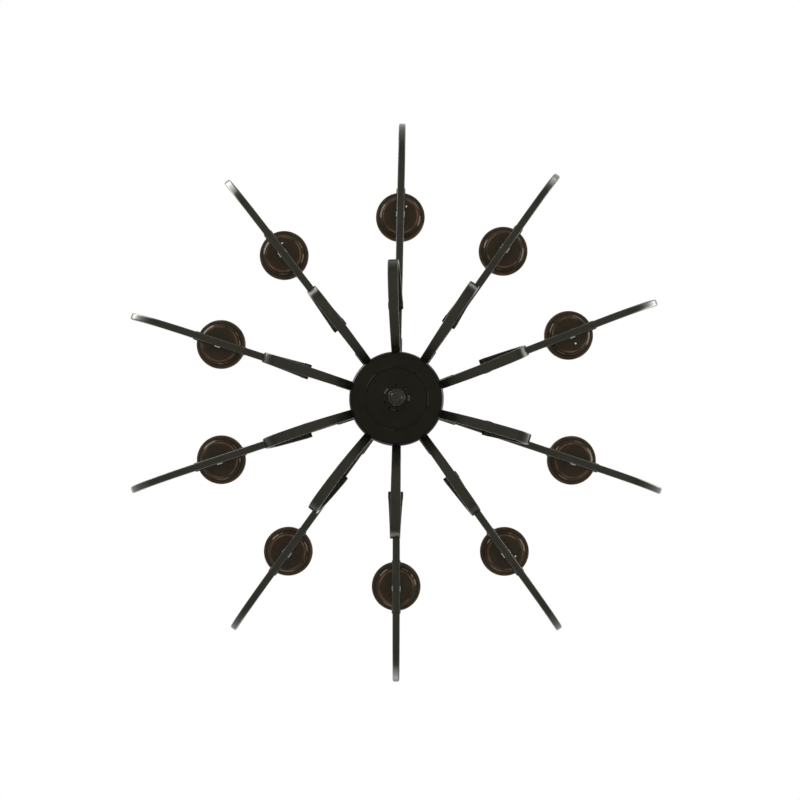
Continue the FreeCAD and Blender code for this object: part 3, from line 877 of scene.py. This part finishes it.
@dataclass
class Candle:
    """Drip pan on its bridge and the sleeve that stands on it."""

    rho: float = 312.0
    floor: float = 30.0
    sheet: float = 1.3
    bore: float = 5.05
    pan_radius: float = 41.3
    ring_radius: float = 29.0
    ring_spread: float = 1.3
    ring_wear: float = 0.8
    lip_radius: float = 40.3
    lip_spread: float = 0.8
    lip_wear: float = 0.9
    sleeve_radius: float = 12.0
    sleeve_bore: float = 10.3
    sleeve_height: float = 98.0
    sleeve_lift: float = 0.1

    def pan(self) -> Surface:
        """Pan on the arm that points along +X."""
        s, r = self.sheet, self.pan_radius
        profile = outline(
            [(self.bore, 0, 0), (30.7, 0, 9.0), (34.54, 6.65, 6.0), (r, 8.47, 0.7), (r, 12.0, 0.5),
             (r - s, 12.0, 0.5), (r - s, 9.55, 0.6), (33.8, 8.0, 5.0), (29.9, s, 9.0),
             (self.bore, s, 0)],
            ARM_UNDERSIDE + self.floor,
        )
        # handling wears a ring where the floor turns up and the outer edge of the lip
        rho = profile.points[:, 0]
        ring = self.ring_wear * np.exp(-(((rho - self.ring_radius) / self.ring_spread) ** 2))
        lip = self.lip_wear * np.clip((rho - self.lip_radius) / self.lip_spread, 0.0, 1.0)
        worn = np.maximum(profile.wear, np.maximum(ring, lip))
        return lathe(Curve(profile.points, profile.normals, worn), 120, self.rho)

    def sleeve(self) -> Surface:
        """Sleeve on the arm that points along +X, a hair above the pan that it stands on."""
        foot, top = self.sleeve_lift, self.sleeve_height
        profile = outline(
            [(self.sleeve_bore, foot, 0.2), (self.sleeve_radius, foot, 0.3),
             (self.sleeve_radius, top, 0.7), (self.sleeve_bore, top, 0.5)],
            ARM_UNDERSIDE + self.floor + self.sheet,
        )
        return lathe(profile, 64, self.rho)

    def build(self, dresser: Dresser) -> None:
        """Makes all the pans and sleeves."""
        pan, sleeve = self.pan(), self.sleeve()
        for index in range(ARMS):
            number, angle = f"{index + 1:02d}", arm_angle(index)
            dresser.stand_in(
                f"drip_pan_{number}", [pan.turned(angle)], FinishName.PAN_BRONZE,
                "frame",
            )
            dresser.stand_in(
                f"candle_sleeve_{number}", [sleeve.turned(angle)], FinishName.IVORY,
                f"sleeve_{number}",
            )


@dataclass
class Hub:
    """Bell, dish, finial and stem: everything turned or spun about the lamp's axis."""

    bore: float = 5.05
    bell_foot: float = -54.5
    bell_top: float = 56.0
    stem_length: float = 150.0
    shaded_radius: float = 30.0

    def bell(self) -> Surface:
        """Drum and dome."""
        b, foot, top = self.bore, self.bell_foot, self.bell_top
        return lathe(
            outline(
                [(66, foot, 0.2), (68, foot, 0.3), (68, 36.5, 14), (24.5, 47.8, 26), (14, 50.5, 5),
                 (14, top, 0.4), (b, top, 0), (b, top - 2, 0), (12.6, top - 2, 0.2), (12.6, 49, 5),
                 (24, 45.8, 24), (66, 34.9, 12)],
                ARM_UNDERSIDE,
            ),
            160,
        )

    def dish(self) -> Surface:
        """Bowl with a rolled rim, a ring bead and a flare down to the knob."""
        b = self.bore
        profile = outline(
            [(b, -95, 0), (17.4, -95, 2.0), (19.0, -88.9, 6), (33, -82.6, 20), (45.5, -79.6, 0.5),
             (46.1, -80.6, 0.7), (47.8, -80.1, 0.8), (48.4, -78.7, 0.6), (72.6, -70.2, 11),
             (73, -54.5, 2.3), (64, -54.5, 0), (64, -56, 0), (71.5, -56, 1.2), (71.2, -69.0, 10),
             (45.5, -78.0, 2), (32.4, -81.1, 20), (17.9, -87.7, 5), (16.1, -93.5, 0.4),
             (b, -93.5, 0)],
            ARM_UNDERSIDE,
        )
        # the knob shades the dish's foot from wear
        worn = np.where(profile.points[:, 0] < self.shaded_radius, 0.0, profile.wear)
        return lathe(Curve(profile.points, profile.normals, worn), 192)

    def finial(self) -> Surface:
        """Turned knob with a dimple."""
        return lathe(
            outline(
                [(AXIS_RHO, -107.5, 0), (AXIS_RHO, -112.7, 0), (2.2, -114, 1.0), (7.6, -114, 3.4),
                 (8.8, -108.7, 0.5), (12.8, -107.6, 2.6), (12.7, -99.6, 2.8), (9, -99.0, 0.5),
                 (9, -95, 0), (self.bore, -95, 0), (self.bore, -107.5, 0)],
                ARM_UNDERSIDE,
            ),
            128,
        )

    def stem(self) -> Surface:
        """Tube with a turned collar at its foot."""
        foot = ARM_UNDERSIDE + self.bell_top
        return lathe(
            outline(
                [(9.5, 0, 0), (14, 0, 0.4), (14, 4, 1.2), (11, 6.5, 3.0),
                 (11, self.stem_length, 0.3), (9.5, self.stem_length, 0)],
                foot,
            ),
            64,
        )

    def build(self, dresser: Dresser) -> None:
        """Makes the hub's turned pieces."""
        pieces = {
            "hub_bell": self.bell, "hub_dish": self.dish, "finial": self.finial, "stem": self.stem,
        }
        for node, make in pieces.items():
            finish = FinishName.BAR if node == "finial" else FinishName.BRONZE
            dresser.stand_in(node, [make()], finish, "frame")


@dataclass
class Hanging:
    """Canopy, its loop, the chain and the frame's loop, from the ceiling down."""

    ring_radius: float = 12.0
    ring_wire: float = 3.0
    link_radius: float = 10.0
    link_wire: float = 2.5
    link_straight: float = 30.0
    links: int = 3
    play: float = 0.1
    canopy_ring: float = -57.0
    cap_height: float = 20.0
    # the section's corners are rounded by nearly all of the wire's radius, which makes it round
    roundness: float = 0.999

    def wire_loop(
        self, radius: float, wire: float, height: float, straight: float = 0.0
    ) -> Surface:
        """Ring or link of round wire, upright in the XZ plane.

        Args:
            radius: Radius of the round ends' centre line.
            wire: Radius of the wire.
            height: Height of the upper round end's centre.
            straight: Length of the straight sides, 0 for a ring.

        Returns:
            The loop's surface.
        """
        path = circle_path(radius, height, straight)
        fillet = wire * self.roundness
        return swept_bar(path, 2 * wire, 2 * wire, fillet, closed=True, fillet_facets=8)[0]

    def canopy(self) -> Surface:
        """Spun cup against the ceiling."""
        return lathe(
            outline(
                [(64, 0, 0.3), (62.7, 0, 0.2), (62.7, -13.5, 12), (43.5, -20.4, 14),
                 (14.6, -24.2, 3), (11, -28.7, 0.6), (5.05, -28.7, 0), (5.05, -30, 0),
                 (12, -30, 0.8), (15.4, -25.4, 3), (44.0, -21.6, 14), (64, -14.2, 12)]
            ),
            160,
        )

    def canopy_loop(self) -> list[Surface]:
        """Screw collar with its ring."""
        collar = lathe(
            outline(
                [(AXIS_RHO, -43, 0), (5, -43, 0.6), (10, -38, 0.6), (10, -30, 0.8), (5.05, -30, 0),
                 (5.05, -39.8, 0), (AXIS_RHO, -39.8, 0)]
            ),
            64,
        )
        return [collar, self.wire_loop(self.ring_radius, self.ring_wire, self.canopy_ring)]

    def frame_loop(self, ring: float) -> list[Surface]:
        """Ring with the turned cap that closes the stem."""
        top = ring - self.ring_radius - self.ring_wire + 1.0
        foot = top - self.cap_height
        cap = lathe(
            outline(
                [(AXIS_RHO, foot + 14, 0), (5.05, foot + 14, 0), (5.05, foot, 0), (12, foot, 0.2),
                 (13, foot + 1.2, 0.8), (13, top - 11, 0.8), (9.4, top - 8.6, 3),
                 (6.0, top - 4.0, 3), (5.5, top, 0.7), (AXIS_RHO, top, 0)]
            ),
            64,
        )
        return [cap, self.wire_loop(self.ring_radius, self.ring_wire, ring)]

    def build(self, dresser: Dresser) -> None:
        """Makes everything between the ceiling and the stem."""
        iron = (FinishName.BRONZE, "bronze_iron")
        dresser.stand_in("ceiling_canopy", [self.canopy()], iron[0], "ceiling_mount")
        dresser.stand_in("canopy_loop", self.canopy_loop(), iron[0], "ceiling_mount")
        wire_height, wire = self.canopy_ring - self.ring_radius, self.ring_wire
        for number in range(1, self.links + 1):
            top = wire_height + wire + self.play - (self.link_radius - self.link_wire)
            link = self.wire_loop(self.link_radius, self.link_wire, top, self.link_straight)
            if number % 2:
                link = link.turned(90.0)
            dresser.stand_in(f"chain_link_{number}", [link], iron[0], f"link_{number}")
            wire_height, wire = top - self.link_straight - self.link_radius, self.link_wire
        ring = wire_height + wire + self.play - (self.ring_radius - self.ring_wire)
        dresser.stand_in("frame_loop", self.frame_loop(ring), iron[0], "frame")


# ---- studio -------------------------------------------------------------------------------------
@dataclass(frozen=True)
class Lamp:
    """Large soft lamp beside the object.

    Attributes:
        name: Name of the light.
        bearing_deg: Direction in plan, from +X.
        height_deg: Height above the arms' level.
        size: Width and height in metres.
        brightness: Radiance, where 1 is as bright as the white surround.
        tint: Colour as a hex code.
        distance: Distance from the middle of the arms, in metres.
    """

    name: str
    bearing_deg: float
    height_deg: float
    size: tuple[float, float]
    brightness: float
    tint: str = "#fffdf8"
    distance: float = 4.0

    @property
    def place(self) -> tuple[float, float, float]:
        """Centre of the lamp in metres."""
        bearing, height = math.radians(self.bearing_deg), math.radians(self.height_deg)
        flat = self.distance * math.cos(height)
        up = ARM_UNDERSIDE * MM + self.distance * math.sin(height)
        return flat * math.cos(bearing), flat * math.sin(bearing), up

    @property
    def watts(self) -> float:
        """Power that gives the lamp its brightness."""
        return self.brightness * math.pi * self.size[0] * self.size[1]


@dataclass
class Studio:
    """Camera under the lamp, large soft lights, a plain pale floor and a white surround."""

    below_arms: float = 1060.0
    towards_y: float = 50.0
    focal_mm: float = 29.25
    shift_x: float = 0.0044
    shift_y: float = 0.0392
    room_tint: str = "#fffdf5"
    floor_light: float = 0.25
    ceiling_light: float = 0.8
    room_height: float = 2.6
    floor_size: float = 40.0
    lamps: tuple[Lamp, ...] = (
        Lamp("window left", 218.0, 18.0, (2.4, 2.4), 6.5),
        Lamp("window right", 354.0, 18.0, (2.4, 2.4), 5.5),
        Lamp("lamp near", 308.0, 16.0, (1.4, 1.4), 2.5),
        Lamp("lamp far", 102.0, 16.0, (2.2, 2.0), 2.0),
    )

    def camera(self) -> None:
        """Camera that looks straight up, with image up along -Y."""
        data = bpy.data.cameras.new("camera")
        data.lens, data.sensor_width = self.focal_mm, 36.0
        data.shift_x, data.shift_y = self.shift_x, self.shift_y
        made = bpy.data.objects.new("camera", data)
        made.location = (0.0, self.towards_y * MM, (ARM_UNDERSIDE - self.below_arms) * MM)
        made.rotation_euler = (math.pi, 0.0, 0.0)
        bpy.context.scene.collection.objects.link(made)
        bpy.context.scene.camera = made

    def area_light(self, lamp: Lamp) -> None:
        """Soft rectangular light aimed at the hub, out of the camera's own sight.

        Args:
            lamp: Where it stands and how bright it is.
        """
        data = bpy.data.lights.new(lamp.name, "AREA")
        data.shape, data.size, data.size_y = "RECTANGLE", lamp.size[0], lamp.size[1]
        data.energy, data.color = lamp.watts, colour(lamp.tint)[:3]
        made = bpy.data.objects.new(lamp.name, data)
        made.location = lamp.place
        made.visible_camera = False
        aim = Vector((0.0, 0.0, ARM_UNDERSIDE * MM)) - Vector(lamp.place)
        made.rotation_euler = aim.to_track_quat("-Z", "Y").to_euler()
        bpy.context.scene.collection.objects.link(made)

    def world(self) -> None:
        """White to the eye, in metal and through glass, and a soft room light for the rest."""
        world = bpy.data.worlds.new("studio")
        bpy.context.scene.world = world
        world.use_nodes = True
        tree = world.node_tree
        tree.nodes.clear()
        way = add_node(tree, "ShaderNodeTexCoord").outputs["Generated"]
        height = add_node(tree, "ShaderNodeSeparateXYZ", Vector=way).outputs["Z"]
        level = add_node(
            tree, "ShaderNodeMapRange", Value=height, From_Min=-0.5, From_Max=0.5,
            To_Min=self.floor_light, To_Max=self.ceiling_light,
        )
        room = add_node(
            tree, "ShaderNodeBackground", Color=colour(self.room_tint),
            Strength=level.outputs["Result"],
        )
        plain = add_node(tree, "ShaderNodeBackground", Color=(1.0, 1.0, 1.0, 1.0), Strength=1.0)
        ray = add_node(tree, "ShaderNodeLightPath").outputs
        bent = add_node(
            tree, "ShaderNodeMath", set_operation="MAXIMUM",
            in_0=ray["Is Glossy Ray"], in_1=ray["Is Transmission Ray"],
        )
        seen = add_node(
            tree, "ShaderNodeMath", set_operation="MAXIMUM",
            in_0=ray["Is Camera Ray"], in_1=bent.outputs[0],
        )
        mixed = add_node(
            tree, "ShaderNodeMixShader",
            in_0=seen.outputs[0], in_1=room.outputs[0], in_2=plain.outputs[0],
        )
        add_node(tree, "ShaderNodeOutputWorld", Surface=mixed.outputs[0])

    def floor(self) -> None:
        """Plain pale floor of the room that the lamp hangs in, well below the camera."""
        half = self.floor_size / 2
        corners = [(-half, -half), (half, -half), (half, half), (-half, half)]
        mesh = bpy.data.meshes.new("floor")
        mesh.from_pydata([(x, y, -self.room_height) for x, y in corners], [], [(0, 1, 2, 3)])
        mesh.materials.append(Moulded(FinishName.FLOOR, base="#f2f1ee", roughness=0.9).material())
        made = bpy.data.objects.new("floor", mesh)
        bpy.context.scene.collection.objects.link(made)

    def build(self) -> None:
        """Sets up the camera, the floor, the lights, the world and the picture's look."""
        self.camera()
        self.floor()
        self.world()
        for lamp in self.lamps:
            self.area_light(lamp)
        bpy.context.scene.view_settings.view_transform = "Standard"


CAD_LOOKS = {
    "crossbar": FinishName.ZINC,
    "canopy_nipple": FinishName.ZINC,
    "centre_rod": FinishName.ZINC,
    "arm_spider": FinishName.ZINC,
    "arm_bolts": FinishName.ZINC,
    "socket_nipples": FinishName.ZINC,
    "pan_screws": FinishName.ZINC,
    "lamp_sockets": FinishName.SOCKET,
}


def main() -> None:
    """Builds the pieces, dresses the CAD nodes that stay and sets up the studio."""
    logging.basicConfig(level=logging.INFO, format="%(message)s")
    dresser = Dresser()
    for assembly in (Hub(), Arm(), Scroll(), Bridge(), Candle(), Hanging()):
        assembly.build(dresser)
    for node, finish in CAD_LOOKS.items():
        dresser.repaint(node, finish)
    Studio().build()


if __name__ == "__main__":
    main()
